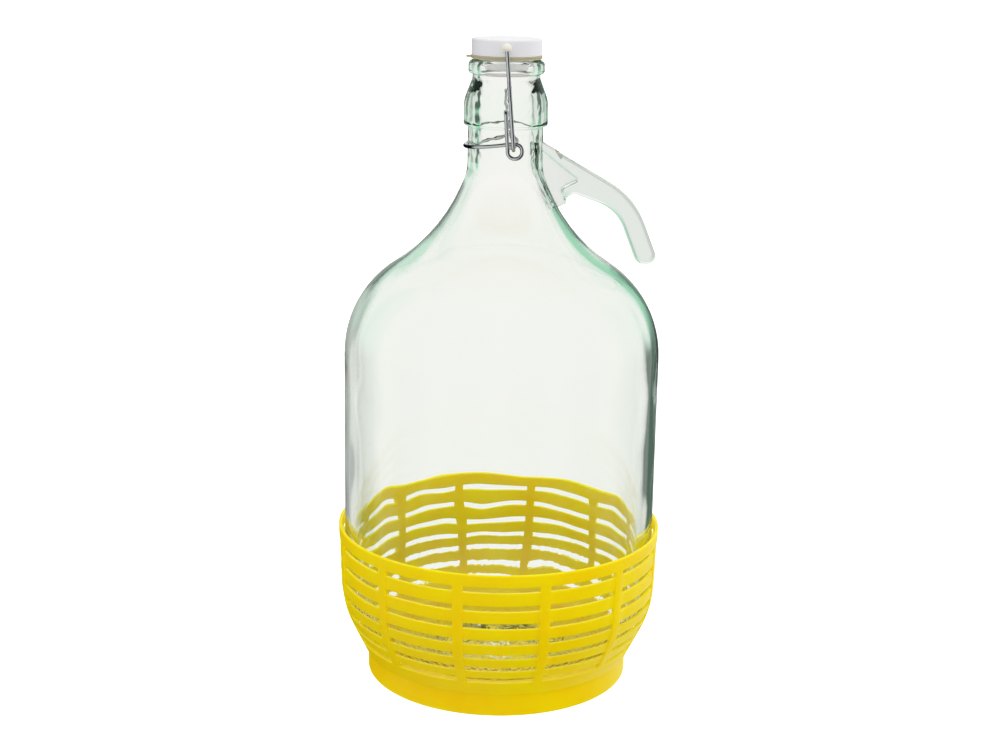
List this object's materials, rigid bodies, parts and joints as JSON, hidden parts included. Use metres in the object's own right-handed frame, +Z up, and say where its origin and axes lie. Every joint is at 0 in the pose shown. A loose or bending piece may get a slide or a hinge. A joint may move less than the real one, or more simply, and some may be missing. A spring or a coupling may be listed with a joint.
{
  "type": "demijohn",
  "caption": "Clear glass demijohn with a hook handle and a swing stopper on bent wires, standing in a slotted moulded basket.",
  "frame": {"origin": "middle of the basket's foot, on the surface that it stands on", "axes": "+Z up along the jug's axis, +X towards the handle, -Y towards the front"},
  "size_m": [0.1874, 0.1874, 0.3689],
  "materials": {
    "jug_glass": "clear with a faint green tint",
    "basket_plastic": "moulded yellow, soft gloss",
    "stopper_plastic": "moulded white",
    "gasket_rubber": "matt beige",
    "bail_steel": "bright drawn and plated",
    "lever_steel": "bright drawn and plated"
  },
  "bodies": {
    "jug": {"glass_jug": "jug_glass", "basket": "basket_plastic"},
    "lever": {"lever_wire": "lever_steel"},
    "bail": {"bail_wire": "bail_steel"},
    "cap": {"stopper": "stopper_plastic", "gasket": "gasket_rubber"}
  },
  "joints": [
    {"name": "lever_pivot", "type": "hinge", "parent": "jug", "child": "lever", "pos_m": [0, 0, 0.33087], "axis": [0, 1, 0], "range_deg": [0, 75]},
    {"name": "bail_hook", "type": "hinge", "parent": "lever", "child": "bail", "pos_m": [0.00451, 0, 0.31052], "axis": [0, 1, 0], "range_deg": [-50, 0]},
    {"name": "stopper_swing", "type": "hinge", "parent": "bail", "child": "cap", "pos_m": [0, 0, 0.36452], "axis": [0, 1, 0], "range_deg": [-26, 0]}
  ],
  "couplings": [
    {"joint": "bail_hook", "follows": "lever_pivot", "ratio": -0.655},
    {"joint": "stopper_swing", "follows": "lever_pivot", "ratio": -0.345}
  ]
}
